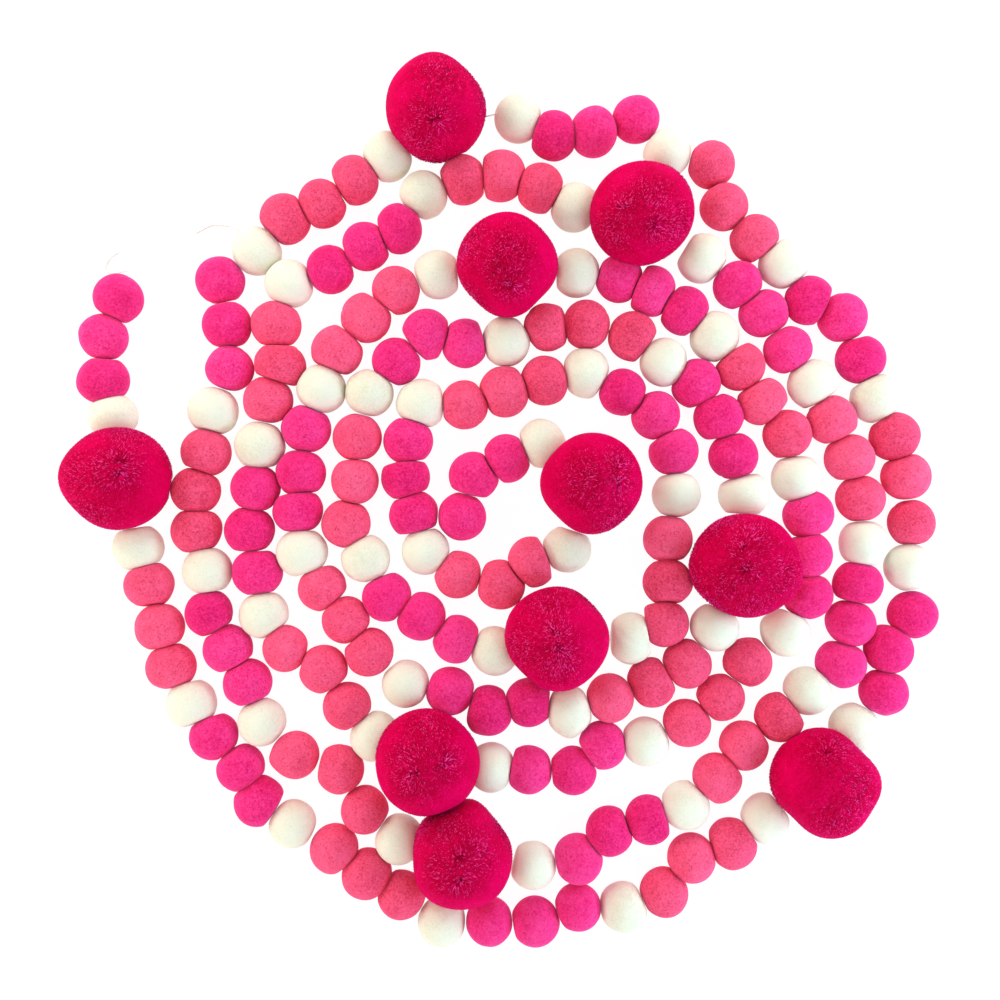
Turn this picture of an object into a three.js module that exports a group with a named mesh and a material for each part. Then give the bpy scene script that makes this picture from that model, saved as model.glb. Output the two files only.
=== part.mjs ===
import * as THREE from "three";

// Felt ball garland, laid out on a table in a flat spiral.
//
// Millimetres, +Z up. The garland rests on the plane Z = 0, and the middle of its outline is
// at X = 0, Y = 0. Seen from above it starts at the left, runs down and then anticlockwise,
// and winds inwards. White felt balls take turns with threes of coral and of hot pink balls,
// and a big yarn pompom stands in the row after every 21 balls.

// Felt balls, 25 mm across. The corners of a faceted ball stand a little outside that size.
// A ball has three bands of facets from seam to seam, and one more where the row bends.
const BALL_CORNER_RADIUS = 13;
const BALL_SIDES = 10;
const STRAIGHT_BANDS = 3;
const BEND_PER_BAND = Math.PI / 3;
const BALL_CENTRE_HEIGHT = 11.9;
const FLAT_SPOT_DEPTH = 0.6;

// Seams, where a ball is pressed flat by what is next to it on the string.
const SEAM_RADIUS_MIN = 3.5;
const POMPOM_SEAM_REACH = 10.6;
const FREE_END_REACH = 12.1;

// Yarn pompoms of 30 thick locks, joined at a core and a little apart at their tips.
const POMPOM_CORE_SHARE = 0.62;
const LOCK_TIP_SHARE = 0.9;

// String, and the space kept between pieces that touch.
const STRING_DIAMETER = 0.8;
const STRING_SIDES = 8;
const STRING_STEP = 2.2;
const STRING_END_GAP = 0.5;
const GAP = 0.3;

// The layout, measured from above. MIDDLE is the middle of the outline in those measures.
// A row holds a pompom, its diameter (across), the six white balls that follow it, and for
// each run of three coloured balls how far they stand out to the right of the straight line
// between their two white balls (bulges) and how far they have moved along it (slips).
const MIDDLE = [3.1, -3.3];
const SECTIONS = [
  {
    pompom: [-206, 12],
    across: 56,
    whites: [[-199, -26], [-170, -112], [-114, -178], [-32, -232], [68, -224], [146, -175]],
    bulges: [[1, 3, 4], [2, 2, 6], [-1, 0.5, 0], [2, 4, -2], [5, -3, 2]],
    slips: [[-1, 0, 0], [0, 1, 0], [2, 0, -2], [1, 1, 0], [0, 0, 0]],
  },
  {
    pompom: [175, -152],
    across: 58,
    whites: [[195, -125], [225, -37], [207, 56], [156, 130], [92, 191], [10, 210]],
    bulges: [[9, 4, 10], [6, 8, 6], [5, 10, 0], [-1, 0, 12], [14, 2, -5]],
    slips: [[0, 0, -1], [0, 2, 1], [0, 2, -2], [-1, 1, 0], [0, 0, 0]],
  },
  {
    pompom: [-35, 211],
    across: 54.5,
    whites: [[-62, 189], [-134, 137], [-158, 49], [-161, -39], [-131, -122], [-55.5, -186.5]],
    bulges: [[0, 0, 5], [15, 5, -3], [3, 8, 7], [7, 4, 0], [2, -8, 0]],
    slips: [[0, 0, -1], [-2, -2, -2], [1, 0, 0], [0, 0, -1], [1, 0, 0]],
  },
  {
    pompom: [-21, -191],
    across: 55,
    whites: [[18, -201], [102, -168], [169, -105], [200, -24], [172, 64], [111, 133]],
    bulges: [[6, -2, 0], [1, -2, 0], [12, 9, 5], [6, 7, 4], [2, 5.5, 5]],
    slips: [[2, 1, 1], [0, 0, 2], [-1, 0, 0], [1, 1, 1], [0, 1, -1]],
  },
  {
    pompom: [76, 154],
    across: 54.5,
    whites: [[41, 161], [-42, 168], [-116, 119], [-132, 30], [-130, -63], [-69, -130]],
    bulges: [[9, 14, 10], [-8, -6, -6], [3, -3, 0], [3, 7, 3], [4, -4, 0]],
    slips: [[-1, 0, 0], [0, -2, -1], [1, 0, -3], [0, 0, 0], [-1, -1, 0]],
  },
  {
    pompom: [-39, -141],
    across: 56,
    whites: [[-5, -147], [80, -133], [157, -73], [163, 12], [118, 90], [42, 125]],
    bulges: [[5, 9, -2], [6, 6, 0], [11, 9, 8], [8, 5, 4], [6, 8, 7]],
    slips: [[-1, 1, -2], [0, -1, -2], [0, 1, 2], [1, 1, 1], [0, 0, -2]],
  },
  {
    pompom: [4, 126],
    across: 54.5,
    whites: [[-34, 124], [-98, 61], [-109, -29], [-52, -101], [38, -116], [118, -70]],
    bulges: [[10, 11, 9], [6, 6, 5], [3, 4, 5], [0, 7, -1], [5, 9, 10]],
    slips: [[0, 0, 2], [0, 2, 0], [-1, -2, -3], [2, 2, 0], [0, 1, 0]],
  },
  {
    pompom: [132, -35],
    across: 56.5,
    whites: [[134, 3], [90, 76], [3, 87], [-72, 59], [-74, -32], [-3, -83]],
    bulges: [[6, 10, 9], [12, 15, 11], [7, 19, 11], [6, 7, 11], [10.5, 8, 7]],
    slips: [[0, 1, 2], [-3, 1, 0], [1, -1, 0], [2, 3, 4], [0, 0, 1]],
  },
  {
    pompom: [31, -75],
    across: 56,
    whites: [[72, -76], [97, 3], [47, 70], [-43, 53], [-41, -28], [37, -27]],
    bulges: [[15, 10, 3], [13, 17, 10], [0, -2, -5], [8, 10, 6], [13, 19, 7]],
    slips: [[-7, -6, -4], [-1, 0, 0], [0, 0, 0], [0, 0, 0], [-2, 2, 0]],
  },
  { pompom: [49, 9], across: 54.5, whites: [], bulges: [], slips: [] },
];
const OUTER_END = { tip: [-210, 111], white: [-213, 46], bulge: [7, 6], slip: [0, 2] };
const INNER_END = { white: [23, 31], tip: [-21, -9], bulge: [7, 12], slip: [0, 0] };

// The two loose ends of string, from the ball that they leave down to the table.
const TABLE_LEVEL = STRING_DIAMETER / 2 + 0.05;
const OUTER_TAIL = [
  [-205.5, 123.2, 11.5],
  [-205.6, 125.4, 8.5],
  [-207.2, 127.4, 4],
  [-211.5, 128, 1.1],
  [-217, 127.2, 0.5],
  [-221, 129, TABLE_LEVEL],
  [-220, 133.8, TABLE_LEVEL],
  [-217, 137.2, TABLE_LEVEL],
  [-214, 139, TABLE_LEVEL],
];
const SPLICE_TAIL = [
  [-142.2, 145.2, 7],
  [-144, 147.6, 4],
  [-147, 151, 1.2],
  [-151.5, 153.4, 0.5],
  [-157, 154.1, TABLE_LEVEL],
  [-162, 154, TABLE_LEVEL],
  [-166.5, 151.9, TABLE_LEVEL],
  [-170.5, 149.8, TABLE_LEVEL],
];

const UP = new THREE.Vector3(0, 0, 1);

function fibre(colour, roughness) {
  return new THREE.MeshStandardMaterial({ color: colour, roughness, metalness: 0, flatShading: true });
}

const materials = {
  white: fibre("#ece4d6", 1),
  coral: fibre("#f0506e", 1),
  pink: fibre("#ee2a86", 1),
  yarn: fibre("#cf0a5a", 0.9),
  string: fibre("#d9cfc0", 0.9),
};

function placed([x, y], height) {
  return new THREE.Vector3(x - MIDDLE[0], y - MIDDLE[1], height);
}

// The places of the balls in an even row from one ball to another, each moved ahead by its
// slip and out to the right by its bulge.
function ballsBetween(from, to, bulges, slips) {
  const way = to.clone().sub(from);
  const ahead = way.clone().normalize();
  const right = new THREE.Vector3(ahead.y, -ahead.x, 0);
  return bulges.map((bulge, i) => {
    const place = from.clone().addScaledVector(way, (i + 1) / (bulges.length + 1));
    return place.addScaledVector(ahead, slips[i]).addScaledVector(right, bulge);
  });
}

// The beads in order along the string. Balls with the same piece name make one body.
function threadBeads(locks) {
  const beads = [];
  const ball = (piece, colour, at) => beads.push({ kind: "ball", piece, colour, at });
  const ballAt = (point) => placed(point, BALL_CENTRE_HEIGHT);

  const outerTip = ballAt(OUTER_END.tip);
  const outerWhite = ballAt(OUTER_END.white);
  ball("end_outer", "pink", outerTip);
  ballsBetween(outerTip, outerWhite, OUTER_END.bulge, OUTER_END.slip)
    .forEach((at) => ball("end_outer", "pink", at));
  ball("end_outer", "white", outerWhite);

  SECTIONS.forEach((section, s) => {
    const radius = section.across / 2;
    const at = placed(section.pompom, radius * restingShare(locks));
    beads.push({ kind: "pompom", piece: `pompom_${s + 1}`, radius, at });
    const whites = section.whites.map(ballAt);
    section.bulges.forEach((bulge, r) => {
      const piece = `section_${s + 1}_run_${r + 1}`;
      const colour = (s + r) % 2 === 0 ? "coral" : "pink";
      ball(piece, "white", whites[r]);
      ballsBetween(whites[r], whites[r + 1], bulge, section.slips[r])
        .forEach((place) => ball(piece, colour, place));
      if (r === section.bulges.length - 1) ball(piece, "white", whites[r + 1]);
    });
  });

  const innerWhite = ballAt(INNER_END.white);
  const innerTip = ballAt(INNER_END.tip);
  ball("end_inner", "white", innerWhite);
  ballsBetween(innerWhite, innerTip, INNER_END.bulge, INNER_END.slip)
    .forEach((at) => ball("end_inner", "pink", at));
  ball("end_inner", "pink", innerTip);
  return beads;
}

function levelWay(from, to) {
  return new THREE.Vector3(to.x - from.x, to.y - from.y, 0).normalize();
}

// Where a ball ends on the side of its neighbour: the way there, how far off the flat seam
// is, and its radius. On a free end the neighbour is missing, and the way goes on straight.
function seamTowards(ball, neighbour, other) {
  let way;
  let reach;
  if (!neighbour) {
    way = levelWay(other.at, ball.at);
    reach = FREE_END_REACH;
  } else if (neighbour.kind === "pompom") {
    way = levelWay(ball.at, neighbour.at);
    reach = POMPOM_SEAM_REACH;
  } else {
    way = levelWay(ball.at, neighbour.at);
    reach = ball.at.distanceTo(neighbour.at) / 2;
    if (neighbour.piece !== ball.piece) reach -= GAP / 2;
  }
  const round = Math.sqrt(Math.max(BALL_CORNER_RADIUS ** 2 - reach ** 2, 0));
  return { way, reach, radius: Math.max(round, SEAM_RADIUS_MIN) };
}

// One cross section of a ball, square to the way, with a flat side down.
function crossSection(centre, way, radius) {
  const right = new THREE.Vector3(way.y, -way.x, 0);
  return Array.from({ length: BALL_SIDES }, (_, k) => {
    const angle = -Math.PI / 2 + ((k + 0.5) / BALL_SIDES) * 2 * Math.PI;
    const corner = centre.clone();
    corner.addScaledVector(right, radius * Math.cos(angle));
    corner.addScaledVector(UP, radius * Math.sin(angle));
    if (corner.z < FLAT_SPOT_DEPTH) corner.z = 0;
    return corner;
  });
}

// The cross sections between a ball's two seams. Their planes fan out round a bend, all
// through the line where the planes of the two seams meet.
function sectionsInside(ball, entry, exit) {
  const wayIn = entry.way.clone().negate();
  const bend = wayIn.angleTo(exit.way);
  const bands = STRAIGHT_BANDS + Math.round(bend / BEND_PER_BAND);
  const firstAngle = Math.acos(Math.min(entry.reach / BALL_CORNER_RADIUS, 1));
  const lastAngle = Math.PI - Math.acos(Math.min(exit.reach / BALL_CORNER_RADIUS, 1));
  const sections = [];
  for (let k = 1; k < bands; k += 1) {
    const angle = firstAngle + ((lastAngle - firstAngle) * k) / bands;
    const share = (entry.reach - BALL_CORNER_RADIUS * Math.cos(angle)) / (entry.reach + exit.reach);
    const straight = bend < 1e-3;
    const inWeight = straight ? 1 - share : Math.sin((1 - share) * bend) / Math.sin(bend);
    const outWeight = straight ? share : Math.sin(share * bend) / Math.sin(bend);
    const way = wayIn.clone().multiplyScalar(inWeight).addScaledVector(exit.way, outWeight).normalize();
    const offset = exit.reach * outWeight - entry.reach * inWeight;
    const radius = Math.sqrt(BALL_CORNER_RADIUS ** 2 - offset ** 2);
    sections.push(crossSection(ball.at.clone().addScaledVector(way, offset), way, radius));
  }
  return sections;
}

// One closed body of balls that are pressed together in a row.
function runOfBalls(beads, first, last) {
  const corners = [];
  const faces = [];
  const geometry = new THREE.BufferGeometry();
  const colours = [];

  const addSection = (section) => {
    const start = corners.length - BALL_SIDES;
    corners.push(...section);
    if (start < 0) return;
    for (let k = 0; k < BALL_SIDES; k += 1) {
      const next = (k + 1) % BALL_SIDES;
      const ahead = start + BALL_SIDES;
      faces.push(start + k, ahead + k, ahead + next, start + k, ahead + next, start + next);
    }
  };
  const addCap = (start, facesBack) => {
    for (let k = 1; k < BALL_SIDES - 1; k += 1) {
      const [b, c] = facesBack ? [k, k + 1] : [k + 1, k];
      faces.push(start, start + b, start + c);
    }
  };

  for (let i = first; i <= last; i += 1) {
    const ball = beads[i];
    const entry = seamTowards(ball, beads[i - 1], beads[i + 1]);
    const exit = seamTowards(ball, beads[i + 1], beads[i - 1]);
    const groupStart = faces.length;
    if (i === first) {
      const centre = ball.at.clone().addScaledVector(entry.way, entry.reach);
      addSection(crossSection(centre, entry.way.clone().negate(), entry.radius));
      addCap(0, true);
    }
    sectionsInside(ball, entry, exit).forEach(addSection);
    const centre = ball.at.clone().addScaledVector(exit.way, exit.reach);
    addSection(crossSection(centre, exit.way, exit.radius));
    if (i === last) addCap(corners.length - BALL_SIDES, false);
    if (!colours.includes(ball.colour)) colours.push(ball.colour);
    geometry.addGroup(groupStart, faces.length - groupStart, colours.indexOf(ball.colour));
  }

  geometry.setFromPoints(corners);
  geometry.setIndex(faces);
  geometry.computeVertexNormals();
  return new THREE.Mesh(geometry, colours.map((colour) => materials[colour]));
}

// The directions of a pompom's 30 locks, one over each edge of an icosahedron. A lock's four
// corners are the two ends of the edge and the middles of the two faces beside it.
function lockDirections() {
  const position = new THREE.IcosahedronGeometry(1).getAttribute("position");
  const faces = [];
  for (let i = 0; i < position.count; i += 3) {
    const corners = [0, 1, 2].map((k) => new THREE.Vector3().fromBufferAttribute(position, i + k));
    const middle = new THREE.Vector3();
    corners.forEach((corner) => middle.add(corner));
    faces.push({ corners, middle: middle.normalize() });
  }
  const hasCorner = (face, corner) => face.corners.some((own) => own.distanceTo(corner) < 0.01);
  const locks = [];
  faces.forEach((face, f) => {
    face.corners.forEach((from, k) => {
      const to = face.corners[(k + 1) % 3];
      const beside = faces.findIndex((other, g) => g > f && hasCorner(other, from) && hasCorner(other, to));
      if (beside < 0) return;
      const corners = [from, faces[beside].middle, to, face.middle];
      const axis = from.clone().add(to).normalize();
      const tips = corners.map((corner) => axis.clone().lerp(corner, LOCK_TIP_SHARE).normalize());
      locks.push({ axis, corners, tips });
    });
  });
  return locks;
}

// The height of a pompom's centre over the table, as a share of its radius: the lock that
// points straight down ends in one level face, whose far corners are at full length.
function restingShare(locks) {
  const lowest = locks.find((lock) => lock.axis.z < -0.99);
  return Math.min(...lowest.tips.map((tip) => -tip.z));
}

// The planes that a pompom stays behind: the table, and one before each bead near it.
function planesRound(pompom, beads) {
  const planes = [{ way: UP.clone().negate(), reach: pompom.at.z }];
  beads.forEach((bead) => {
    if (bead === pompom) return;
    const way = bead.at.clone().sub(pompom.at);
    const distance = way.length();
    way.normalize();
    if (bead.kind === "pompom") {
      const share = pompom.radius / (pompom.radius + bead.radius);
      planes.push({ way, reach: distance * share - GAP / 2 });
    } else {
      planes.push({ way, reach: distance - BALL_CORNER_RADIUS - GAP });
    }
  });
  return planes;
}

// One pompom: each lock has four sides that rise from the core and a tip of four facets.
// The lock in the middle of its side faces the next ball on the string.
function pompomOfLocks(pompom, nextBall, beads, locks) {
  const planes = planesRound(pompom, beads);
  const facing = levelWay(pompom.at, nextBall.at);
  const turn = Math.atan2(facing.y, facing.x);
  const points = [];
  const point = (direction, radius) => {
    const way = direction.clone().applyAxisAngle(UP, turn);
    const length = planes.reduce((shortest, plane) => {
      const lean = way.dot(plane.way);
      return lean > 0 ? Math.min(shortest, plane.reach / lean) : shortest;
    }, radius);
    return pompom.at.clone().addScaledVector(way, length);
  };
  locks.forEach(({ axis, corners, tips }) => {
    const middle = point(axis, pompom.radius);
    const roots = corners.map((corner) => point(corner, pompom.radius * POMPOM_CORE_SHARE));
    const ends = tips.map((tip) => point(tip, pompom.radius));
    roots.forEach((root, k) => {
      const after = (k + 1) % roots.length;
      points.push(root, roots[after], ends[after], root, ends[after], ends[k]);
      points.push(middle, ends[k], ends[after]);
    });
  });
  const geometry = new THREE.BufferGeometry().setFromPoints(points);
  geometry.computeVertexNormals();
  return new THREE.Mesh(geometry, materials.yarn);
}

// A length of string along a smooth curve through the given points.
function stringAlong(points) {
  const path = new THREE.CatmullRomCurve3(points);
  const outline = Array.from({ length: STRING_SIDES }, (_, k) => {
    const angle = (k / STRING_SIDES) * 2 * Math.PI;
    return new THREE.Vector2(Math.cos(angle), Math.sin(angle)).multiplyScalar(STRING_DIAMETER / 2);
  });
  const geometry = new THREE.ExtrudeGeometry(new THREE.Shape(outline), {
    steps: Math.ceil(path.getLength() / STRING_STEP),
    extrudePath: path,
    bevelEnabled: false,
  });
  return new THREE.Mesh(geometry, materials.string);
}

function looseString(route) {
  return stringAlong(route.map(([x, y, z]) => placed([x, y], z)));
}

// The one stretch of string that shows between two beads, from surface to surface.
function stringBetween(bead, mesh, otherBead, otherMesh) {
  const way = otherBead.at.clone().sub(bead.at).normalize();
  const leaving = (from, direction, surface) => {
    const far = from.clone().addScaledVector(direction, bead.at.distanceTo(otherBead.at));
    const ray = new THREE.Raycaster(far, direction.clone().negate());
    return ray.intersectObject(surface)[0].point.addScaledVector(direction, STRING_END_GAP);
  };
  const start = leaving(bead.at, way, mesh);
  const end = leaving(otherBead.at, way.clone().negate(), otherMesh);
  return stringAlong([start, end]);
}

const garland = new THREE.Group();
const locks = lockDirections();
const beads = threadBeads(locks);
const meshes = {};

function addPiece(name, mesh) {
  mesh.name = name;
  meshes[name] = mesh;
  garland.add(mesh);
}

beads.forEach((bead, i) => {
  if (bead.kind === "pompom") {
    addPiece(bead.piece, pompomOfLocks(bead, beads[i + 1], beads, locks));
  } else if (beads[i - 1]?.piece !== bead.piece) {
    const last = beads.findLastIndex((other) => other.piece === bead.piece);
    addPiece(bead.piece, runOfBalls(beads, i, last));
  }
});

const looseAt = beads.findIndex((bead) => bead.piece === "pompom_3");
const pompom = beads[looseAt];
const ballBefore = beads[looseAt - 1];
const bareString = stringBetween(pompom, meshes[pompom.piece], ballBefore, meshes[ballBefore.piece]);
addPiece("string_between", bareString);
addPiece("string_tail_outer", looseString(OUTER_TAIL));
addPiece("string_tail_splice", looseString(SPLICE_TAIL));

export default garland;
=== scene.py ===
import math

import bpy
import numpy as np
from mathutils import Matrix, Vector


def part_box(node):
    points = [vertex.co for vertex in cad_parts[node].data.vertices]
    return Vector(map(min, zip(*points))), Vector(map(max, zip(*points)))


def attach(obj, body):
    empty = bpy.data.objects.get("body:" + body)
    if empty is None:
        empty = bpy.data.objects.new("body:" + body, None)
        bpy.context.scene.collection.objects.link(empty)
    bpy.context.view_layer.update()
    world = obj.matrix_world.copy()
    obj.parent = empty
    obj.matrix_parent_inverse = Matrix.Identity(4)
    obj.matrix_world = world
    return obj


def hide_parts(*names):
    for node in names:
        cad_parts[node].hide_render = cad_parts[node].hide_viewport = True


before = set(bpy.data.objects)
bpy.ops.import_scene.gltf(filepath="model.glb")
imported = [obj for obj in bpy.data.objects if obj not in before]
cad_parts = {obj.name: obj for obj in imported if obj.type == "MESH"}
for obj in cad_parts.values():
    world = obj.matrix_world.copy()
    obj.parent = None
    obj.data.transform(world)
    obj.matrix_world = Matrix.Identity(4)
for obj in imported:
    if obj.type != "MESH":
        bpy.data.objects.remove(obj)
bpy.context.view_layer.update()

# Felt ball garland on a pale table, seen from straight above. All lengths are in metres, and
# the tables of places are in millimetres, times MM.
MM = 0.001
SEED = 20
UP = np.array([0.0, 0.0, 1.0])

# A spot's tightness says how fast it falls off from its middle: 4 is broad, 22 is small.

# Felt balls. Lumps are soft and wide, creases are short grooves that fade out at their ends.
BALL_RADIUS = 13.0 * MM
BALL_CENTRE_HEIGHT = 11.9 * MM
BALL_DIVISIONS = 14
BALL_SIZE_SPREAD = 0.014
LUMPS = 9
LUMP_HEIGHT = 0.42 * MM
LUMP_TIGHTNESS = (4, 22)
CREASES = 4
CREASE_DEPTH = 0.5 * MM
CREASE_DEPTH_SHARE = (0.4, 1.0)
CREASE_WIDTH = 0.9 * MM
CREASE_END = (0.75, 0.95)
CREASE_FADE = 8

# The walls that press a ball flat. Two balls touch when their centres are closer than twice the
# touching reach. A wall that is seen at less than the grazing share isn't met at all.
SEAM_ROUNDING = 1.1 * MM
SEAM_GAP = 0.05 * MM
SEAM_TILT = 0.09
SEAM_SHIFT = 0.4 * MM
SEAM_BOW = (0.012 / MM, 0.03 / MM)
SIDE_BULGE = 0.4
FLAT_SPOT_ROUNDING = 3 * MM
POMPOM_SEAM_REACH = 10.6 * MM
POMPOM_TOUCHING = 45 * MM
TOUCHING_REACH = 13.8 * MM
GRAZING = 0.05
FAR_AWAY = 1.0

# Felt fibres that stand off a ball.
FUZZ_COUNT = 90
FUZZ_LENGTH = 0.7 * MM
FUZZ_LENGTH_SHARE = (0.5, 1.3)
FUZZ_WIDTH = 0.07 * MM
FUZZ_LEAN = 0.9
FUZZ_ROOT = 0.2 * MM
FUZZ_LIFT = 0.05 * MM

# Fibres and yarn ends are spikes with three corners at the root and a tip.
SPIKE_POINTS = 4

# Yarn pompoms: how they stand, and how they keep clear of what is next to them.
POMPOM_SEEDS = 1000
POMPOM_REST_SHARE = 0.879
POMPOM_GAP = 0.2 * MM
POMPOM_WALL_ROUNDING = 2.5 * MM
POMPOM_GRAZING = 0.1
ROOM_SHARE = 1.2

# Their marks. The pile is rough in patches and round the whorls, where the yarns part, and
# smooth elsewhere. The hidden marks are on the lower half and a little above it.
WHORL_LENGTH = 3.4 * MM
WHORL_TIGHTNESS = 14
PATCH_TIGHTNESS = 7
HIDDEN_MARKS = 5
HIDDEN_BELOW = 0.3
SWELL_WIDTH = math.radians(26)
PILE_LUMPS = 8
PILE_LUMP_HEIGHT = 0.5 * MM
PILE_LUMP_TIGHTNESS = (3, 14)

# The dense pile. A shade goes from 0, deep, to 1, bright. The pile's rough patches and whorl pits are
# darkened with painted shade.
POMPOM_DIVISIONS = 40
PILE_PROUD = 0.8 * MM
PILE_DEPTH = 0.5 * MM
PILE_UNEVEN = 0.077 * MM
ROUGH_UNEVEN = 0.286 * MM
WHORL_DEPTH = 1.4 * MM
WHORL_WIDTH = 1.3 * MM
PILE_SHADE = 0.51
PILE_SHADE_SPREAD = 0.03
ROUGH_SHADE_SPREAD = 0.08
ROUGH_PAINTED_SHADE = 0.18
WHORL_PAINTED_SHADE = 0.35

# The cut yarn ends that stand out of the pile. Where the pile is rough they are longer, rise more and
# carry a painted highlight more often; their roots are darkened with painted shade.
POMPOM_ENDS = 8200
END_JITTER = 0.01
END_LEAN = 0.55
WHORL_LEAN = 0.45
WHORL_LEAN_TIGHTNESS = 5
END_ROOT = 0.9 * MM
END_LENGTH = 1.25 * MM
END_LENGTH_SHARE = (0.5, 1.3)
SMOOTH_LENGTH_SHARE = 0.35
END_RISE = 0.35 * MM
SMOOTH_RISE_SHARE = 0.5
END_WIDTH = 0.55 * MM
END_WIDTH_SHARE = (0.7, 1.2)
PAINTED_HIGHLIGHT_ENDS = 0.6
SMOOTH_HIGHLIGHT_SHARE = 0.12
END_PAINTED_HIGHLIGHT = (0.35, 0.65)
END_SHADE = 0.51
END_SHADE_SPREAD = 0.05
END_ROOT_PAINTED_SHADE = 0.1
END_NORMAL_LEAN = 0.5

STRING_DIAMETER = 0.8 * MM

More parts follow.
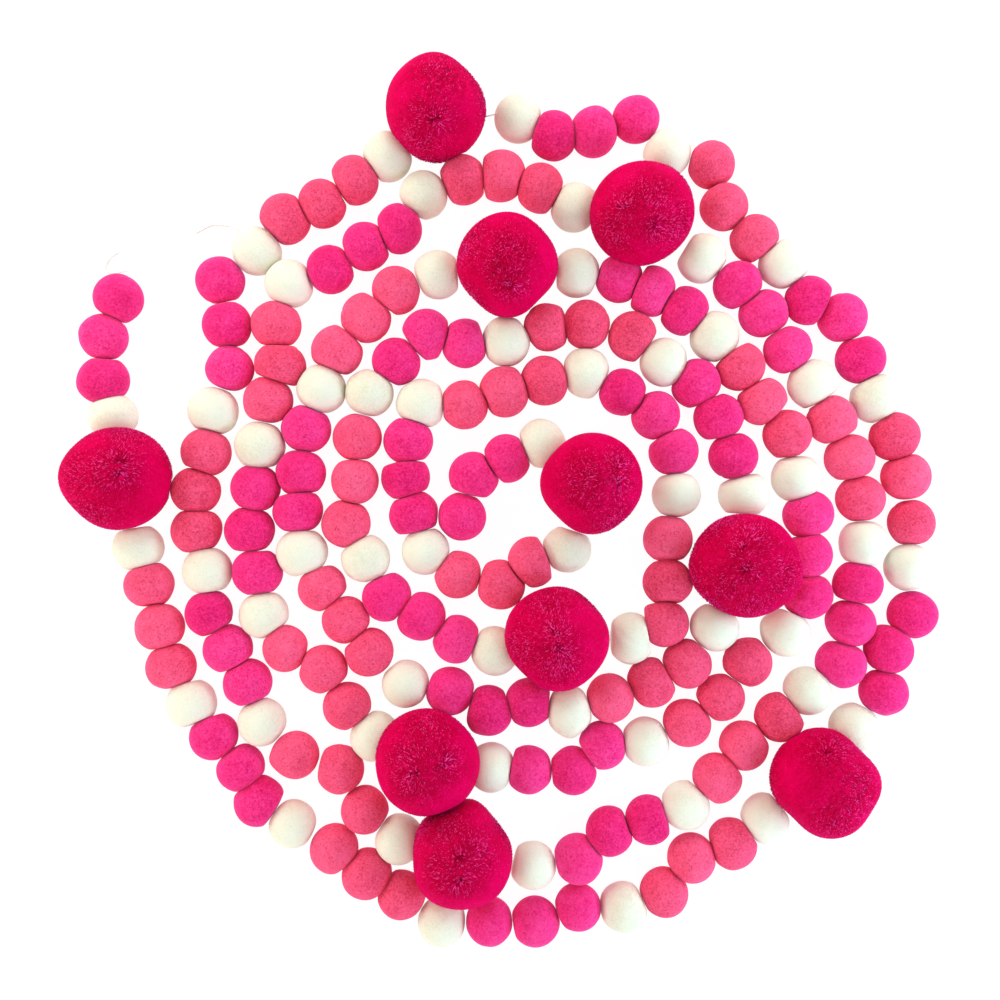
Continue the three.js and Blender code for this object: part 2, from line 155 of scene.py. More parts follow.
# The layout, measured from above, as in the part: each row has a pompom, its diameter, the six
# white balls after it, and for each run of three coloured balls how far they stand out to the
# right of the line between their two white balls (bulges) and have moved along it (slips).
# A pompom's swells are how much more or less it reaches at an angle (degrees from +X), and its
# whorls and rough patches are places on its upper side, measured from its middle.
MIDDLE = (3.1, -3.3)
SECTIONS = [
    {
        "pompom": (-206, 12),
        "across": 56,
        "swells": [(180, 1.3), (90, -1), (130, -1.2), (225, -1.4)],
        "whorls": [(0.5, 9.7), (2.3, 3)],
        "rough": [(-8, 3), (-14, -20), (-23, 2), (5, 25)],
        "whites": [(-199, -26), (-170, -112), (-114, -178), (-32, -232), (68, -224), (146, -175)],
        "bulges": [(1, 3, 4), (2, 2, 6), (-1, 0.5, 0), (2, 4, -2), (5, -3, 2)],
        "slips": [(-1, 0, 0), (0, 1, 0), (2, 0, -2), (1, 1, 0), (0, 0, 0)],
    },
    {
        "pompom": (175, -152),
        "across": 58,
        "swells": [(45, -4), (225, -3.6), (-30, -3)],
        "whorls": [(1.6, 16.4)],
        "rough": [(15, -12), (4, 19), (20, -2), (5, -22)],
        "whites": [(195, -125), (225, -37), (207, 56), (156, 130), (92, 191), (10, 210)],
        "bulges": [(9, 4, 10), (6, 8, 6), (5, 10, 0), (-1, 0, 12), (14, 2, -5)],
        "slips": [(0, 0, -1), (0, 2, 1), (0, 2, -2), (-1, 1, 0), (0, 0, 0)],
    },
    {
        "pompom": (-35, 211),
        "across": 54.5,
        "swells": [(90, 1), (270, 0.5), (45, -1.8), (180, -1), (225, -1), (135, -0.8)],
        "whorls": [(-1.6, -6.2)],
        "rough": [(-2, -6), (3, 20), (-8, -20)],
        "whites": [(-62, 189), (-134, 137), (-158, 49), (-161, -39), (-131, -122), (-55.5, -186.5)],
        "bulges": [(0, 0, 5), (15, 5, -3), (3, 8, 7), (7, 4, 0), (2, -8, 0)],
        "slips": [(0, 0, -1), (-2, -2, -2), (1, 0, 0), (0, 0, -1), (1, 0, 0)],
    },
    {
        "pompom": (-21, -191),
        "across": 55,
        "swells": [(78, 2), (42, -2.5), (180, -1.5), (-45, 1), (225, 0.8)],
        "whorls": [(-1.6, -2.3), (0, -14)],
        "rough": [(-10, -10), (-8, 14), (8, 2)],
        "whites": [(18, -201), (102, -168), (169, -105), (200, -24), (172, 64), (111, 133)],
        "bulges": [(6, -2, 0), (1, -2, 0), (12, 9, 5), (6, 7, 4), (2, 5.5, 5)],
        "slips": [(2, 1, 1), (0, 0, 2), (-1, 0, 0), (1, 1, 1), (0, 1, -1)],
    },
    {
        "pompom": (76, 154),
        "across": 54.5,
        "swells": [(45, 1), (-60, -0.8)],
        "whorls": [(-8.6, 4.7), (7.8, -7.8)],
        "rough": [(5.5, 10), (-15.6, -9.4), (20, -6)],
        "whites": [(41, 161), (-42, 168), (-116, 119), (-132, 30), (-130, -63), (-69, -130)],
        "bulges": [(9, 14, 10), (-8, -6, -6), (3, -3, 0), (3, 7, 3), (4, -4, 0)],
        "slips": [(-1, 0, 0), (0, -2, -1), (1, 0, -3), (0, 0, 0), (-1, -1, 0)],
    },
    {
        "pompom": (-39, -141),
        "across": 56,
        "swells": [(45, -1.5), (185, -0.8)],
        "whorls": [(-9.4, -6.2), (10, 1.6)],
        "rough": [(-8, -10), (0, 20), (-10, 3)],
        "whites": [(-5, -147), (80, -133), (157, -73), (163, 12), (118, 90), (42, 125)],
        "bulges": [(5, 9, -2), (6, 6, 0), (11, 9, 8), (8, 5, 4), (6, 8, 7)],
        "slips": [(-1, 1, -2), (0, -1, -2), (0, 1, 2), (1, 1, 1), (0, 0, -2)],
    },
    {
        "pompom": (4, 126),
        "across": 54.5,
        "swells": [(-45, -3), (225, -2.5), (45, -1.5)],
        "whorls": [(0, -9.4)],
        "rough": [(0, 10), (-3, 0), (-20, 12)],
        "whites": [(-34, 124), (-98, 61), (-109, -29), (-52, -101), (38, -116), (118, -70)],
        "bulges": [(10, 11, 9), (6, 6, 5), (3, 4, 5), (0, 7, -1), (5, 9, 10)],
        "slips": [(0, 0, 2), (0, 2, 0), (-1, -2, -3), (2, 2, 0), (0, 1, 0)],
    },
    {
        "pompom": (132, -35),
        "across": 56.5,
        "swells": [(-20, 2.5), (190, 1.8), (235, -0.8), (90, -0.8)],
        "whorls": [(0, 11), (1, -1)],
        "rough": [(22, -6), (-12, -12), (5, 15), (5, -22)],
        "whites": [(134, 3), (90, 76), (3, 87), (-72, 59), (-74, -32), (-3, -83)],
        "bulges": [(6, 10, 9), (12, 15, 11), (7, 19, 11), (6, 7, 11), (10.5, 8, 7)],
        "slips": [(0, 1, 2), (-3, 1, 0), (1, -1, 0), (2, 3, 4), (0, 0, 1)],
    },
    {
        "pompom": (31, -75),
        "across": 56,
        "swells": [(45, -1.8), (225, -2), (-40, -1)],
        "whorls": [(1.6, -6.2), (0, 3)],
        "rough": [(0, -15), (-20, -5), (-5, 20)],
        "whites": [(72, -76), (97, 3), (47, 70), (-43, 53), (-41, -28), (37, -27)],
        "bulges": [(15, 10, 3), (13, 17, 10), (0, -2, -5), (8, 10, 6), (13, 19, 7)],
        "slips": [(-7, -6, -4), (-1, 0, 0), (0, 0, 0), (0, 0, 0), (-2, 2, 0)],
    },
    {
        "pompom": (49, 9),
        "across": 54.5,
        "swells": [(225, -2), (-45, -1.2), (135, -1.5)],
        "whorls": [(14.8, 12.5), (15.6, 1.6)],
        "rough": [(-4, 5), (-3, -3), (12, -20)],
        "whites": [],
        "bulges": [],
        "slips": [],
    },
]
OUTER_END = {"tip": (-210, 111), "white": (-213, 46), "bulge": (7, 6), "slip": (0, 2)}
INNER_END = {"white": (23, 31), "tip": (-21, -9), "bulge": (7, 12), "slip": (0, 0)}

# The two loose ends of string, from the ball that they leave down to the table.
TABLE_LEVEL = 0.45
OUTER_TAIL = [
    (-205.5, 123.2, 11.5),
    (-205.6, 125.4, 8.5),
    (-207.2, 127.4, 4),
    (-211.5, 128, 1.1),
    (-217, 127.2, 0.5),
    (-221, 129, TABLE_LEVEL),
    (-220, 133.8, TABLE_LEVEL),
    (-217, 137.2, TABLE_LEVEL),
    (-214, 139, TABLE_LEVEL),
]
SPLICE_TAIL = [
    (-142.2, 145.2, 7),
    (-144, 147.6, 4),
    (-147, 151, 1.2),
    (-151.5, 153.4, 0.5),
    (-157, 154.1, TABLE_LEVEL),
    (-162, 154, TABLE_LEVEL),
    (-166.5, 151.9, TABLE_LEVEL),
    (-170.5, 149.8, TABLE_LEVEL),
]

# The camera looks straight down at the photo's middle.
CAMERA_PLACE = np.array([-3.1, 3.3, 590]) * MM
CAMERA_LENS_MM = 37.8
SENSOR_MM = 36

# Broad light from all round, strongest and coolest at the right and the lower right, and a weak
# one from the top. The ring's lights are placed by their angle from +X.
RING_RADIUS = 0.55
RING_HEIGHT = 0.24
RING_LIGHT_SIZE = 0.3
RING_AIM = (0, 0, 0.01)
RING_LIGHTS = [
    {"degrees": 0, "watts": 1.25, "colour": (0.64, 0.9, 1.0)},
    {"degrees": -40, "watts": 1.55, "colour": (0.64, 0.88, 1.0)},
    {"degrees": -90, "watts": 0.5, "colour": (0.98, 0.97, 0.93)},
    {"degrees": -135, "watts": 0.75, "colour": (1.0, 0.97, 0.84)},
    {"degrees": 180, "watts": 1.0, "colour": (1.0, 0.98, 0.87)},
    {"degrees": 135, "watts": 1.0, "colour": (1.0, 0.99, 0.87)},
    {"degrees": 90, "watts": 0.95, "colour": (1.0, 0.99, 0.9)},
    {"degrees": 45, "watts": 0.95, "colour": (0.93, 1.0, 0.95)},
]
TOP_LIGHT_HEIGHT = 1.5
TOP_LIGHT_SIZE = 1.4
TOP_LIGHT_WATTS = 4.3
ROOM_LIGHT = 0.2
TABLE_HALF = 3.0


def placed(point, height):
    """A place in the frame from one in the layout's tables, at this height."""
    return np.array([(point[0] - MIDDLE[0]) * MM, (point[1] - MIDDLE[1]) * MM, height])


def unit(vector):
    return vector / np.linalg.norm(vector, axis=-1, keepdims=True)


def level_way(start, end):
    way = end - start
    way[2] = 0
    return unit(way)


def random_way(rng):
    return unit(rng.normal(size=3))


def random_turn(rng):
    """Three random directions at right angles, as a matrix that turns or mirrors."""
    return np.linalg.qr(rng.normal(size=(3, 3)))[0]


def make_camera():
    data = bpy.data.cameras.new("camera")
    data.lens = CAMERA_LENS_MM
    data.sensor_width = SENSOR_MM
    data.clip_start = 10 * MM
    camera = bpy.data.objects.new("camera", data)
    camera.location = CAMERA_PLACE
    bpy.context.scene.collection.objects.link(camera)
    bpy.context.scene.camera = camera


def string_piece(name, points, node):
    """A smooth length of string through these points, which stands for a node."""
    curve = bpy.data.curves.new(name, "CURVE")
    curve.dimensions = "3D"
    curve.bevel_depth = STRING_DIAMETER / 2
    curve.bevel_resolution = 3
    curve.use_fill_caps = True
    spline = curve.splines.new("BEZIER")
    spline.bezier_points.add(len(points) - 1)
    for knot, point in zip(spline.bezier_points, points):
        knot.co = point
        knot.handle_left_type = "AUTO"
        knot.handle_right_type = "AUTO"
    piece = bpy.data.objects.new(name, curve)
    bpy.context.scene.collection.objects.link(piece)
    curve.materials.append(string_material)
    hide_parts(node)
    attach(piece, "root")
    return piece


def loose_string(name, route, node):
    points = [placed((x, y), z * MM) for x, y, z in route]
    piece = string_piece(name, [Vector(point) for point in points], node)


# Materials

class Nodes:
    """Adds nodes to a new material and links them."""

    def __init__(self, name):
        self.material = bpy.data.materials.new(name)
        self.material.use_nodes = True
        self.tree = self.material.node_tree

    def feed(self, socket, value):
        """Links a socket to an output, or sets it to a plain value."""
        if isinstance(value, bpy.types.NodeSocket):
            self.tree.links.new(value, socket)
        else:
            socket.default_value = value

    def fill(self, node, inputs):
        """Feeds inputs that are named as the node's sockets are, with _ for a space."""
        for key, value in inputs.items():
            self.feed(node.inputs[key.replace("_", " ")], value)

    def add(self, kind, settings=None, **inputs):
        node = self.tree.nodes.new(kind)
        for key, value in (settings or {}).items():
            setattr(node, key, value)
        self.fill(node, inputs)
        return node

    def finish(self, **inputs):
        """Fills the shader and returns the material."""
        self.fill(self.tree.nodes["Principled BSDF"], inputs)
        return self.material

    def position(self):
        return self.add("ShaderNodeTexCoord").outputs["Object"]

    def shade(self):
        """The shade that each point of the mesh holds."""
        return self.add("ShaderNodeAttribute", {"attribute_name": "shade"}).outputs["Fac"]

    def noise(self, where, scale, detail=2.0, roughness=0.5, distortion=0.0):
        node = self.add(
            "ShaderNodeTexNoise",
            Vector=where,
            Scale=scale,
            Detail=detail,
            Roughness=roughness,
            Distortion=distortion,
        )
        return node.outputs["Fac"]

    def number(self, operation, first, second):
        node = self.add("ShaderNodeMath", {"operation": operation})
        self.feed(node.inputs[0], first)
        self.feed(node.inputs[1], second)
        return node.outputs["Value"]

    def weighted(self, parts):
        """The sum of (value, weight) parts."""
        total, *others = [self.number("MULTIPLY", value, weight) for value, weight in parts]
        for other in others:
            total = self.number("ADD", total, other)
        return total

    def spread(self, value, low, high, to_low=0.0, to_high=1.0):
        """The range from low to high, stretched to another range."""
        node = self.add(
            "ShaderNodeMapRange",
            Value=value,
            From_Min=low,
            From_Max=high,
            To_Min=to_low,
            To_Max=to_high,
        )
        return node.outputs["Result"]

    def ramp(self, value, stops):
        node = self.add("ShaderNodeValToRGB", Fac=value)
        while len(node.color_ramp.elements) < len(stops):
            node.color_ramp.elements.new(0.5)
        for element, (place, colour) in zip(node.color_ramp.elements, stops):
            element.position = place
            element.color = (*colour, 1)
        return node.outputs["Color"]

    def blend(self, share, first, second):
        """A mix of two colours, which this node takes in sockets 6 and 7 and gives as output 2."""
        node = self.add("ShaderNodeMix", {"data_type": "RGBA", "blend_type": "MIX"})
        for key, value in zip((0, 6, 7), (share, first, second)):
            self.feed(node.inputs[key], value)
        return node.outputs[2]

    def bump(self, height, strength, distance):
        node = self.add("ShaderNodeBump", Height=height, Strength=strength, Distance=distance)
        return node.outputs["Normal"]


def felt_material(name, deep, plain, light, sheen, pit_painted_shade):
    """Wool felt: blotches, short matted fibres, and small pits with painted shade in them."""
    nodes = Nodes(name)
    where = nodes.position()
    blotch = nodes.noise(where, 90, detail=1)
    grain = nodes.noise(where, 900, detail=4, roughness=0.7, distortion=0.6)
    matting = nodes.noise(where, 290, detail=4, roughness=0.65, distortion=1.5)
    tone = nodes.weighted([
        (nodes.spread(blotch, 0.3, 0.7), 0.14),
        (nodes.spread(grain, 0.36, 0.64), 0.4),
        (nodes.spread(matting, 0.34, 0.66), 0.2),
        (nodes.shade(), 0.28),
    ])
    colour = nodes.ramp(tone, [(0.1, deep), (0.5, plain), (0.95, light)])

    # This is 0 in a pit and 1 between pits. Pits lie only where the matting is low, and they take painted
    # shade.
    cells = nodes.add("ShaderNodeTexVoronoi", Vector=where, Scale=560, Randomness=1)
    smooth = nodes.number(
        "MAXIMUM",
        nodes.spread(cells.outputs["Distance"], 0.18, 0.3),
        nodes.spread(matting, 0.48, 0.64),
    )
    height = nodes.weighted([(grain, 0.5), (smooth, 0.25), (matting, 0.5)])
    return nodes.finish(
        # Painted shade: the pits are mixed towards the deep colour.
        Base_Color=nodes.blend(nodes.spread(smooth, 0, 1, pit_painted_shade, 0), colour, (*deep, 1)),
        Normal=nodes.bump(height, 0.7, 0.5 * MM),
        Roughness=0.95,
        Specular_IOR_Level=0.15,
        Sheen_Weight=0.35,
        Sheen_Roughness=0.45,
        Sheen_Tint=(*sheen, 1),
    )


def yarn_material():
    """Trimmed yarn: a ramp over the points' shades, with painted shade between the yarns and painted
    highlights on their cut ends.
    """
    nodes = Nodes("yarn_raspberry")
    where = nodes.position()
    blotch = nodes.noise(where, 70, detail=2)
    grain = nodes.noise(where, 1500, detail=3, roughness=0.7)
    tone = nodes.number("ADD", nodes.shade(), nodes.spread(blotch, 0.3, 0.7, -0.06, 0.06))
    tone = nodes.number("ADD", tone, nodes.spread(grain, 0.3, 0.7, -0.1, 0.1))
    # The deep stops show painted shade, and the brightest stops show painted highlights.
    stops = [
        (0.0, (0.28, 0.0, 0.02)),
        (0.35, (0.56, 0.0, 0.045)),
        (0.6, (0.82, 0.0, 0.11)),
        (0.85, (1.0, 0.01, 0.2)),
        (1.0, (1.0, 0.06, 0.36)),
    ]
    return nodes.finish(
        Base_Color=nodes.ramp(tone, stops),
        Normal=nodes.bump(grain, 0.6, 0.3 * MM),
        Roughness=0.75,
        Specular_IOR_Level=0.02,
        Sheen_Weight=0.25,
        Sheen_Roughness=0.3,
        Sheen_Tint=(1.0, 0.01, 0.6, 1),
    )


def string_look():
    """Undyed cotton thread with the slant of its twist."""
    nodes = Nodes("string")
    where = nodes.position()
    grain = nodes.noise(where, 2500, detail=4, roughness=0.7)
    twist = nodes.add(
        "ShaderNodeTexWave", {"bands_direction": "DIAGONAL"}, Vector=where, Scale=1200, Distortion=3
    )
    tone = nodes.weighted([(grain, 0.5), (twist.outputs["Fac"], 0.5)])
    stops = [(0.2, (0.8, 0.76, 0.72)), (0.8, (0.95, 0.93, 0.9))]
    return nodes.finish(
        Base_Color=nodes.ramp(tone, stops),
        Normal=nodes.bump(tone, 0.6, 0.1 * MM),
        Roughness=0.9,
        Sheen_Weight=0.2,
    )


# The layout of the beads, and the walls that press them flat

def thread_beads():
    """The beads in order along the string."""
    beads = []

    def ball(piece, colour, at):
        beads.append({"kind": "ball", "piece": piece, "colour": colour, "at": at})

    def balls_between(piece, colour, start, end, bulges, slips):
        way = end - start
        ahead = unit(way)
        right = np.array([ahead[1], -ahead[0], 0.0])
        for i, (bulge, slip) in enumerate(zip(bulges, slips)):
            share = (i + 1) / (len(bulges) + 1)
            ball(piece, colour, start + way * share + (ahead * slip + right * bulge) * MM)

    def ball_at(point):
        return placed(point, BALL_CENTRE_HEIGHT)

    tip, white = ball_at(OUTER_END["tip"]), ball_at(OUTER_END["white"])
    ball("end_outer", "pink", tip)
    balls_between("end_outer", "pink", tip, white, OUTER_END["bulge"], OUTER_END["slip"])
    ball("end_outer", "white", white)
    for s, section in enumerate(SECTIONS):
        radius = section["across"] / 2 * MM
        at = placed(section["pompom"], radius * POMPOM_REST_SHARE)
        beads.append({"kind": "pompom", "piece": f"pompom_{s + 1}", "radius": radius, "at": at, **section})
        whites = [ball_at(point) for point in section["whites"]]
        for r, bulges in enumerate(section["bulges"]):
            piece = f"section_{s + 1}_run_{r + 1}"
            colour = "coral" if (s + r) % 2 == 0 else "pink"
            ball(piece, "white", whites[r])
            balls_between(piece, colour, whites[r], whites[r + 1], bulges, section["slips"][r])
            if r == len(section["bulges"]) - 1:
                ball(piece, "white", whites[r + 1])
    white, tip = ball_at(INNER_END["white"]), ball_at(INNER_END["tip"])
    ball("end_inner", "white", white)
    balls_between("end_inner", "pink", white, tip, INNER_END["bulge"], INNER_END["slip"])
    ball("end_inner", "pink", tip)
    return beads


def find_seams(beads, rng):
    """For each bead the walls (way, reach, rounding, bow) that it is pressed flat by.

    The first wall is the table. A ball is also pressed by the pompom next to it in the row, and by
    any ball that it touches.
    """
    walls = [[] for _ in beads]
    for i, bead in enumerate(beads):
        walls[i].append((-UP, bead["at"][2], FLAT_SPOT_ROUNDING, 0))
        for j in range(i + 1, len(beads)):
            other = beads[j]
            between = other["at"] - bead["at"]
            distance = np.linalg.norm(between)
            in_row = j == i + 1
            if bead["kind"] == "pompom" or other["kind"] == "pompom":
                if in_row and distance < POMPOM_TOUCHING:
                    ball, sign = (i, 1) if bead["kind"] == "ball" else (j, -1)
                    way = sign * level_way(bead["at"], other["at"])
                    walls[ball].append((way, POMPOM_SEAM_REACH, SEAM_ROUNDING, 0))
                continue
            if distance > 2 * TOUCHING_REACH:
                continue
            way = unit(between)
            if in_row:
                way = unit(way + SEAM_TILT * rng.normal(size=3))
            shift = SEAM_SHIFT * rng.normal() if in_row else 0.0
            bow = rng.uniform(*SEAM_BOW) * rng.choice((-1, 1))
            middle = (bead["at"] + other["at"]) / 2 + shift * way
            walls[i].append((way, (middle - bead["at"]) @ way - SEAM_GAP, SEAM_ROUNDING, bow))
            walls[j].append((-way, (other["at"] - middle) @ way - SEAM_GAP, SEAM_ROUNDING, -bow))
    return walls


# Shapes that the balls and the pompoms share

def round_cube(divisions):
    """Unit directions and quads of a cube that is blown up to a sphere, all quads facing out."""
    steps = np.tan(np.linspace(-1, 1, divisions + 1) * math.pi / 4)
    across, along = np.meshgrid(steps, steps, indexing="ij")
    ahead = np.ones_like(across)
    points, quads = [], []
    for axis in range(3):
        for side in (1, -1):
            face = np.stack([across, along, ahead * side], axis=-1)
            points.append(np.roll(face, axis, axis=-1).reshape(-1, 3))
            start = (len(points) - 1) * (divisions + 1) ** 2
            rows, columns = np.meshgrid(range(divisions), range(divisions), indexing="ij")
            corner = (start + rows * (divisions + 1) + columns).reshape(-1)
            quad = np.stack([corner, corner + divisions + 1, corner + divisions + 2, corner + 1], axis=-1)
            quads.append(quad if side > 0 else quad[:, ::-1])
    points, index = np.unique(np.round(unit(np.concatenate(points)), 9), axis=0, return_inverse=True)
    return unit(points), index.reshape(-1)[np.concatenate(quads)]


def even_directions(count):
    """Directions spread evenly over a sphere, on a spiral from pole to pole."""
    k = np.arange(count) + 0.5
    height = 1 - 2 * k / count
    ring = np.sqrt(1 - height * height)
    angle = math.pi * (1 + math.sqrt(5)) * k
    return np.stack([ring * np.cos(angle), ring * np.sin(angle), height], axis=-1)


def smooth_min(first, second, rounding):
    near = np.clip(1 - np.abs(first - second) / rounding, 0, 1)
    return np.minimum(first, second) - near * near * rounding / 4


def spot(ways, middle, tightness):
    """1 at the middle of a round spot, falling off to 0 round it."""
    return np.exp(tightness * (ways @ middle - 1))


def spikes(roots, tips, side, other, width):
    """Slim three-sided spikes, none of them below the table, as points and triangles."""
    corners = []
    for angle in (0, 2 * math.pi / 3, 4 * math.pi / 3):
        corners.append(roots + (side * math.cos(angle) + other * math.sin(angle)) * width)
    points = np.stack([*corners, tips], axis=1)
    points[:, :, 2] = np.maximum(points[:, :, 2], 0)
    base = np.arange(len(roots))[:, None] * SPIKE_POINTS
    faces = np.concatenate([base + [0, 1, 3], base + [1, 2, 3], base + [2, 0, 3]])
    return points.reshape(-1, 3), faces


def make_mesh_piece(name, groups, shades, material, normals=None):
    """One object from several (points, faces) groups, with a shade for each point.

    A normal of its own for each point is taken where one is given that isn't zero.
    """
    points = np.concatenate([group[0] for group in groups])
    mesh = bpy.data.meshes.new(name)
    start = 0
    loops, sizes = [], []
    for group_points, faces in groups:
        loops.append((faces + start).reshape(-1))
        sizes.append(np.full(len(faces), faces.shape[1]))
        start += len(group_points)
    loops, sizes = np.concatenate(loops), np.concatenate(sizes)
    mesh.vertices.add(len(points))
    mesh.vertices.foreach_set("co", points.astype(np.float32).reshape(-1))
    mesh.loops.add(len(loops))
    mesh.loops.foreach_set("vertex_index", loops.astype(np.int32))
    mesh.polygons.add(len(sizes))
    mesh.polygons.foreach_set("loop_start", (np.cumsum(sizes) - sizes).astype(np.int32))
    mesh.polygons.foreach_set("use_smooth", np.ones(len(sizes), bool))
    mesh.update(calc_edges=True)
    if normals is not None:
        mesh.normals_split_custom_set_from_vertices(normals)
    attribute = mesh.attributes.new("shade", "FLOAT", "POINT")
    attribute.data.foreach_set("value", np.concatenate(shades).astype(np.float32))
    mesh.materials.append(material)
    piece = bpy.data.objects.new(name, mesh)
    bpy.context.scene.collection.objects.link(piece)
    return piece


# Felt balls

def wall_distance(ways, way, reach, bow):
    """How far a wall is from the bead's centre each way: flat, or bowed like a shallow cup."""
    facing = ways @ way
    safe = np.maximum(facing, GRAZING)
    distance = reach / safe
    for _ in range(3):
        aside = np.minimum(distance, BALL_RADIUS) ** 2 * (1 - facing * facing)
        distance = (reach + bow * aside / 2) / safe
    return np.where(facing > GRAZING, distance, FAR_AWAY)


def felt_ball(bead, walls, rng):
    """The points and quads of one felt ball: lumpy, creased, and flat where it is pressed."""
    directions, quads = BALL_GRID
    turn = random_turn(rng)
    if np.linalg.det(turn) < 0:
        turn = -turn
    ways = directions @ turn.T
    radius = np.full(len(ways), BALL_RADIUS * (1 + BALL_SIZE_SPREAD * rng.normal()))
    for way, reach, _, _ in walls[1:]:
        pressed = max(BALL_RADIUS - reach, 0) / (2 * BALL_RADIUS)
        radius *= 1 + SIDE_BULGE * pressed * (1 - (ways @ way) ** 2)
    for _ in range(LUMPS):
        tightness = rng.uniform(*LUMP_TIGHTNESS)
        height = LUMP_HEIGHT * rng.normal()
        radius += height * spot(ways, random_way(rng), tightness)
    for _ in range(rng.integers(1, CREASES + 1)):
        across, middle = random_way(rng), random_way(rng)
        middle = unit(middle - across * (across @ middle))
        off = (ways @ across) * BALL_RADIUS / CREASE_WIDTH
        along = np.clip((ways @ middle - rng.uniform(*CREASE_END)) * CREASE_FADE, 0, 1)
        radius -= CREASE_DEPTH * rng.uniform(*CREASE_DEPTH_SHARE) * np.exp(-off * off) * along
    for way, reach, rounding, bow in walls:
        radius = smooth_min(radius, wall_distance(ways, way, reach, bow), rounding)
    return bead["at"] + ways * radius[:, None], quads


def fuzz_on(points, centre, rng):
    """Short fibres on a ball, each a spike that lies over to one side."""
    chosen = points[rng.choice(len(points), FUZZ_COUNT, replace=False)]
    out = unit(chosen - centre)
    side = unit(np.cross(out, unit(rng.normal(size=out.shape))))
    lean = side * rng.normal(0, FUZZ_LEAN, (FUZZ_COUNT, 1))
    length = FUZZ_LENGTH * rng.uniform(*FUZZ_LENGTH_SHARE, (FUZZ_COUNT, 1))
    tips = chosen + (out + lean) * length
    tips[:, 2] = np.maximum(tips[:, 2], FUZZ_LIFT)
    return spikes(chosen - out * FUZZ_ROOT, tips, side, np.cross(out, side), FUZZ_WIDTH / 2)


def make_felt_balls(beads, walls, felts):
    by_piece = {}
    for i, bead in enumerate(beads):
        if bead["kind"] == "ball":
            by_piece.setdefault((bead["piece"], bead["colour"]), []).append(i)
    for (node, colour), members in by_piece.items():
        groups, shades = [], []
        for i in members:
            rng = np.random.default_rng((SEED, i))
            ball = felt_ball(beads[i], walls[i], rng)
            fuzz = fuzz_on(ball[0], beads[i]["at"], rng)
            groups += [ball, fuzz]
            shade = rng.uniform(0, 1)
            shades += [np.full(len(ball[0]), shade), np.full(len(fuzz[0]), shade)]
        piece = make_mesh_piece(f"felt_{colour}_{node}", groups, shades, felts[colour])
        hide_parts(node)
        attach(piece, "root")


# Yarn pompoms

def room_along(pompom, ways, beads):
    """How far the yarn may reach each way before it meets the table or another bead."""
    room = np.full(len(ways), pompom["radius"] * ROOM_SHARE)
    down = ways[:, 2] < -GRAZING
    room[down] = np.minimum(room[down], pompom["at"][2] / -ways[down, 2])
    for other in beads:
        if other is pompom:
            continue
        between = other["at"] - pompom["at"]
        distance = np.linalg.norm(between)
        if other["kind"] == "pompom":
            both = pompom["radius"] + other["radius"]
            if distance < both:
                facing = ways @ (between / distance)
                wall = distance * (pompom["radius"] / both) - POMPOM_GAP
                short = np.minimum(room, wall / np.maximum(facing, POMPOM_GRAZING))
                room = np.where(facing > POMPOM_GRAZING, short, room)
            continue
        reach = BALL_RADIUS + POMPOM_GAP
        if distance > pompom["radius"] + 2 * reach:
            continue
        along = ways @ between
        miss = distance**2 - along**2
        hits = (miss < reach**2) & (along > 0)
        entry = along - np.sqrt(np.maximum(reach**2 - miss, 0))
        room = np.where(hits, np.minimum(room, entry), room)
    return room


def upper_way(pompom, place):
    """The way from a pompom's centre to a place on its upper side, as the camera sees it."""
    centre, radius = pompom["at"], pompom["radius"]
    seen = centre[:2] - CAMERA_PLACE[:2] + np.array(place) * MM
    depth = CAMERA_PLACE[2] - centre[2]
    rise = radius
    for _ in range(4):
        aside = seen * (depth - rise) / depth - (centre[:2] - CAMERA_PLACE[:2])
        rise = math.sqrt(max(radius**2 - aside @ aside, 0))
    return unit(np.array([*aside, rise]))


def pompom_marks(pompom, rng):
    """A pompom's whorls, rough patches and lumps, with made-up ones where the photo can't see."""
    tried = (random_way(rng) for _ in range(HIDDEN_MARKS))
    hidden = [way * (1, 1, -1) for way in tried if way[2] > -HIDDEN_BELOW]
    whorls = [upper_way(pompom, place) for place in pompom["whorls"]] + hidden
    whorls += [unit(whorl * pompom["radius"] + WHORL_LENGTH * random_way(rng)) for whorl in whorls]
    patches = [upper_way(pompom, place) for place in pompom["rough"]] + hidden
    lumps = []
    for _ in range(PILE_LUMPS):
        middle = random_way(rng)
        height = PILE_LUMP_HEIGHT * rng.normal()
        lumps.append((middle, height, rng.uniform(*PILE_LUMP_TIGHTNESS)))
    return whorls, patches, lumps


def roughness(ways, whorls, patches):
    """How rough the pile is each way, up to 1 at a whorl or in the middle of a rough patch."""
    rough = np.zeros(len(ways))
    for patch in patches:
        rough = np.maximum(rough, spot(ways, patch, PATCH_TIGHTNESS))
    for whorl in whorls:
        rough = np.maximum(rough, spot(ways, whorl, WHORL_TIGHTNESS))
    return rough


def pile_reach(pompom, ways, beads, lumps):
    """How far the pile reaches each way: its trimmed outline, short of what is next to it."""
    reach = np.full(len(ways), pompom["radius"] + PILE_PROUD)
    angle = np.arctan2(ways[:, 1], ways[:, 0])
    for degrees, height in pompom["swells"]:
        off = np.angle(np.exp(1j * (angle - math.radians(degrees)))) / SWELL_WIDTH
        reach += height * MM * np.exp(-off * off) * (1 - ways[:, 2] ** 2)
    for middle, height, tightness in lumps:
        reach += height * spot(ways, middle, tightness)
    return smooth_min(reach, room_along(pompom, ways, beads), POMPOM_WALL_ROUNDING)


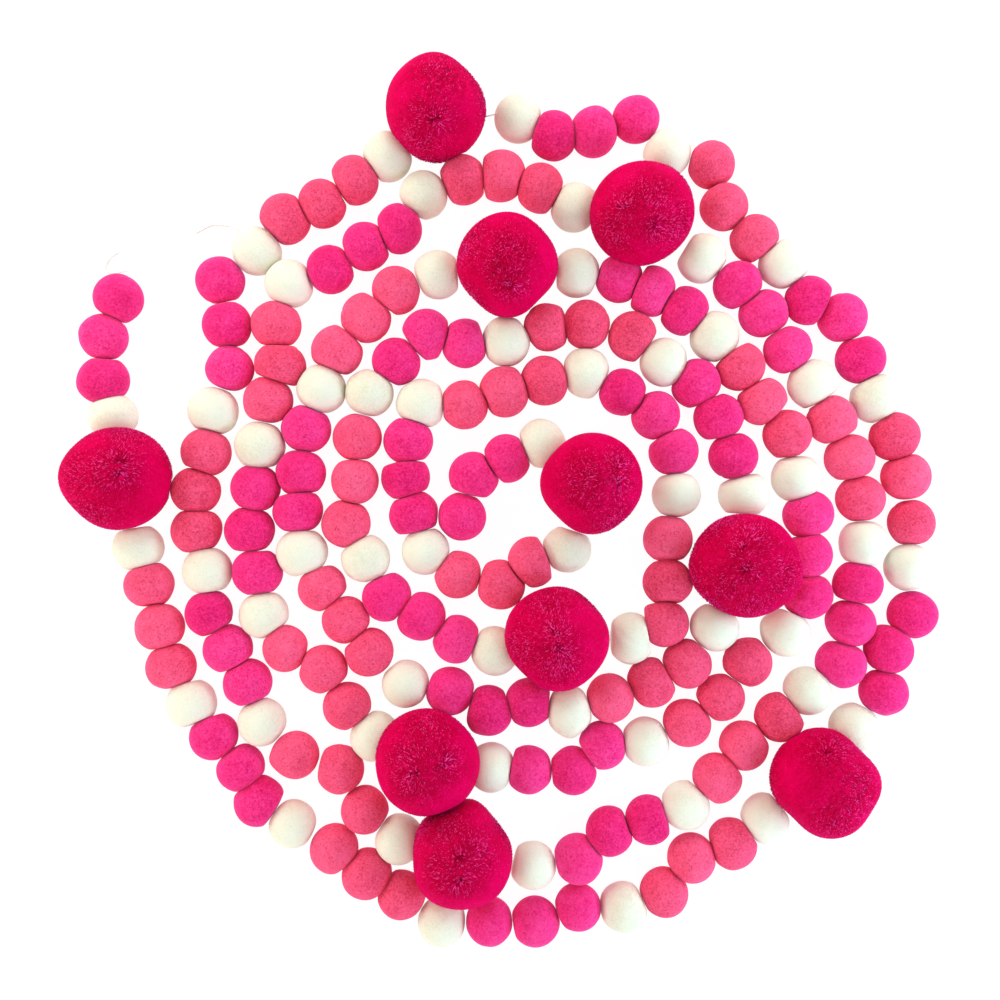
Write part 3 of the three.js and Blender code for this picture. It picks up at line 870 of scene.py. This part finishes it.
def yarn_pile(pompom, beads, marks, rng):
    """A dense pile with a rough skin: its points and quads, and the points' shades, with painted shade in
    the rough patches and the whorl pits.
    """
    whorls, patches, lumps = marks
    ways, quads = PILE_GRID
    rough = roughness(ways, whorls, patches)
    off = [np.linalg.norm(ways - whorl, axis=-1) * pompom["radius"] / WHORL_WIDTH for whorl in whorls]
    inside = np.exp(-np.min(off, axis=0) ** 2)
    uneven = PILE_UNEVEN + ROUGH_UNEVEN * rough
    drop = PILE_DEPTH + WHORL_DEPTH * inside + uneven * np.abs(rng.normal(size=len(ways)))
    reach = pile_reach(pompom, ways, beads, lumps) - drop
    # Painted shade: darker in the rough patches and in the whorl pits.
    shade = PILE_SHADE - ROUGH_PAINTED_SHADE * rough - WHORL_PAINTED_SHADE * inside
    shade += rng.normal(0, PILE_SHADE_SPREAD + ROUGH_SHADE_SPREAD * rough)
    return (pompom["at"] + ways * reach[:, None], quads), shade


def yarn_ends(pompom, beads, marks, rng):
    """Cut ends that lean away from the whorls: points and triangles, shades and normals.

    Their normals are near the pile's, so that the light falls on them as on the pile.
    """
    whorls, patches, lumps = marks
    ways = even_directions(POMPOM_ENDS) @ random_turn(rng).T
    ways = unit(ways + rng.normal(0, END_JITTER, ways.shape))
    rough = roughness(ways, whorls, patches)[:, None]
    lean = END_LEAN * rng.normal(size=ways.shape)
    for whorl in whorls:
        away = unit(ways - whorl * (ways @ whorl)[:, None])
        lean += WHORL_LEAN * away * spot(ways, whorl, WHORL_LEAN_TIGHTNESS)[:, None]
    lean -= ways * np.sum(lean * ways, axis=-1, keepdims=True)
    varied = rng.uniform(*END_LENGTH_SHARE, (len(ways), 1))
    length = END_LENGTH * (SMOOTH_LENGTH_SHARE + rough) * varied
    surface = pile_reach(pompom, ways, beads, lumps)[:, None] - PILE_DEPTH
    root = pompom["at"] + ways * (surface - END_ROOT)
    tip = ways * (surface + END_RISE * (SMOOTH_RISE_SHARE + rough)) + lean * length
    tip_reach = np.linalg.norm(tip, axis=-1, keepdims=True)
    tip_way = tip / tip_reach
    tip = pompom["at"] + tip_way * np.minimum(tip_reach, room_along(pompom, tip_way, beads)[:, None])
    axis = unit(tip - root)
    side = unit(np.cross(axis, unit(rng.normal(size=axis.shape))))
    width = END_WIDTH * rng.uniform(*END_WIDTH_SHARE, (len(tip), 1))
    ends = spikes(root, tip, side, np.cross(axis, side), width)

    # Painted highlight: some ends are brighter, more often where the pile is rough.
    lit = rng.uniform(size=len(tip)) < PAINTED_HIGHLIGHT_ENDS * (SMOOTH_HIGHLIGHT_SHARE + rough[:, 0])
    shade = END_SHADE + rng.normal(0, END_SHADE_SPREAD, len(tip))
    shade += lit * rng.uniform(*END_PAINTED_HIGHLIGHT, len(tip))
    # Painted shade: each end is darker at its three root corners than at its tip.
    root_painted_shade = shade - END_ROOT_PAINTED_SHADE
    shades = np.stack([root_painted_shade, root_painted_shade, root_painted_shade, shade], axis=1).reshape(-1)
    normals = np.repeat(unit(ways + END_NORMAL_LEAN * lean), SPIKE_POINTS, axis=0)
    return ends, shades, normals


def make_pompoms(beads, yarn):
    for i, bead in enumerate(beads):
        if bead["kind"] != "pompom":
            continue
        rng = np.random.default_rng((SEED, POMPOM_SEEDS + i))
        marks = pompom_marks(bead, rng)
        pile, pile_shades = yarn_pile(bead, beads, marks, rng)
        ends, end_shades, end_normals = yarn_ends(bead, beads, marks, rng)
        piece = make_mesh_piece(
            f"yarn_{bead['piece']}",
            [pile, ends],
            [pile_shades, end_shades],
            yarn,
            np.concatenate([np.zeros_like(pile[0]), end_normals]),
        )
        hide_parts(bead["piece"])
        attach(piece, "root")


# Table and light

def make_table():
    """A white sheet that glows a little, as an over-lit table does."""
    nodes = Nodes("table_white")
    material = nodes.finish(
        Base_Color=(0.13, 0.13, 0.13, 1),
        Roughness=0.9,
        Specular_IOR_Level=0.1,
        Emission_Color=(1, 1, 1, 1),
        Emission_Strength=0.95,
    )
    mesh = bpy.data.meshes.new("table")
    corners = [(x * TABLE_HALF, y * TABLE_HALF, 0) for x, y in ((-1, -1), (1, -1), (1, 1), (-1, 1))]
    mesh.from_pydata(corners, [], [(0, 1, 2, 3)])
    mesh.materials.append(material)
    table = bpy.data.objects.new("table", mesh)
    bpy.context.scene.collection.objects.link(table)


def area_light(name, place, aim, size, watts, colour):
    data = bpy.data.lights.new(name, "AREA")
    data.shape = "DISK"
    data.size = size
    data.energy = watts
    data.color = colour
    light = bpy.data.objects.new(name, data)
    light.location = place
    light.rotation_euler = (Vector(aim) - Vector(place)).to_track_quat("-Z", "Y").to_euler()
    bpy.context.scene.collection.objects.link(light)


def make_lights():
    for k, light in enumerate(RING_LIGHTS):
        angle = math.radians(light["degrees"])
        place = (RING_RADIUS * math.cos(angle), RING_RADIUS * math.sin(angle), RING_HEIGHT)
        area_light(f"side_light_{k}", place, RING_AIM, RING_LIGHT_SIZE, light["watts"], light["colour"])
    top = (0, 0, TOP_LIGHT_HEIGHT)
    area_light("top_light", top, (0, 0, 0), TOP_LIGHT_SIZE, TOP_LIGHT_WATTS, (1.0, 0.98, 0.94))
    world = bpy.data.worlds.new("studio")
    world.use_nodes = True
    background = world.node_tree.nodes["Background"]
    background.inputs["Color"].default_value = (1.0, 0.98, 0.95, 1)
    background.inputs["Strength"].default_value = ROOM_LIGHT
    bpy.context.scene.world = world


make_camera()
string_material = string_look()
loose_string("cord_tail_outer", OUTER_TAIL, "string_tail_outer")
loose_string("cord_tail_splice", SPLICE_TAIL, "string_tail_splice")

felts = {
    "white": felt_material(
        "felt_white",
        deep=(0.8, 0.77, 0.61),
        plain=(0.885, 0.89, 0.76),
        light=(0.92, 0.93, 0.83),
        sheen=(0.9, 0.95, 0.9),
        pit_painted_shade=0.2,
    ),
    "coral": felt_material(
        "felt_coral",
        deep=(0.64, 0.025, 0.08),
        plain=(0.95, 0.087, 0.215),
        light=(1.0, 0.16, 0.34),
        sheen=(1.0, 0.3, 0.6),
        pit_painted_shade=0.65,
    ),
    "pink": felt_material(
        "felt_pink",
        deep=(0.62, 0.0, 0.09),
        plain=(0.92, 0.025, 0.225),
        light=(1.0, 0.09, 0.38),
        sheen=(1.0, 0.35, 1.0),
        pit_painted_shade=0.65,
    ),
}
yarn = yarn_material()
BALL_GRID = round_cube(BALL_DIVISIONS)
PILE_GRID = round_cube(POMPOM_DIVISIONS)
beads = thread_beads()
walls = find_seams(beads, np.random.default_rng(SEED))
make_felt_balls(beads, walls, felts)
make_pompoms(beads, yarn)

low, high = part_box("string_between")
string_piece("string_between_beads", [low, (low + high) / 2, high], "string_between")

make_table()
make_lights()
bpy.context.scene.view_settings.view_transform = "Standard"
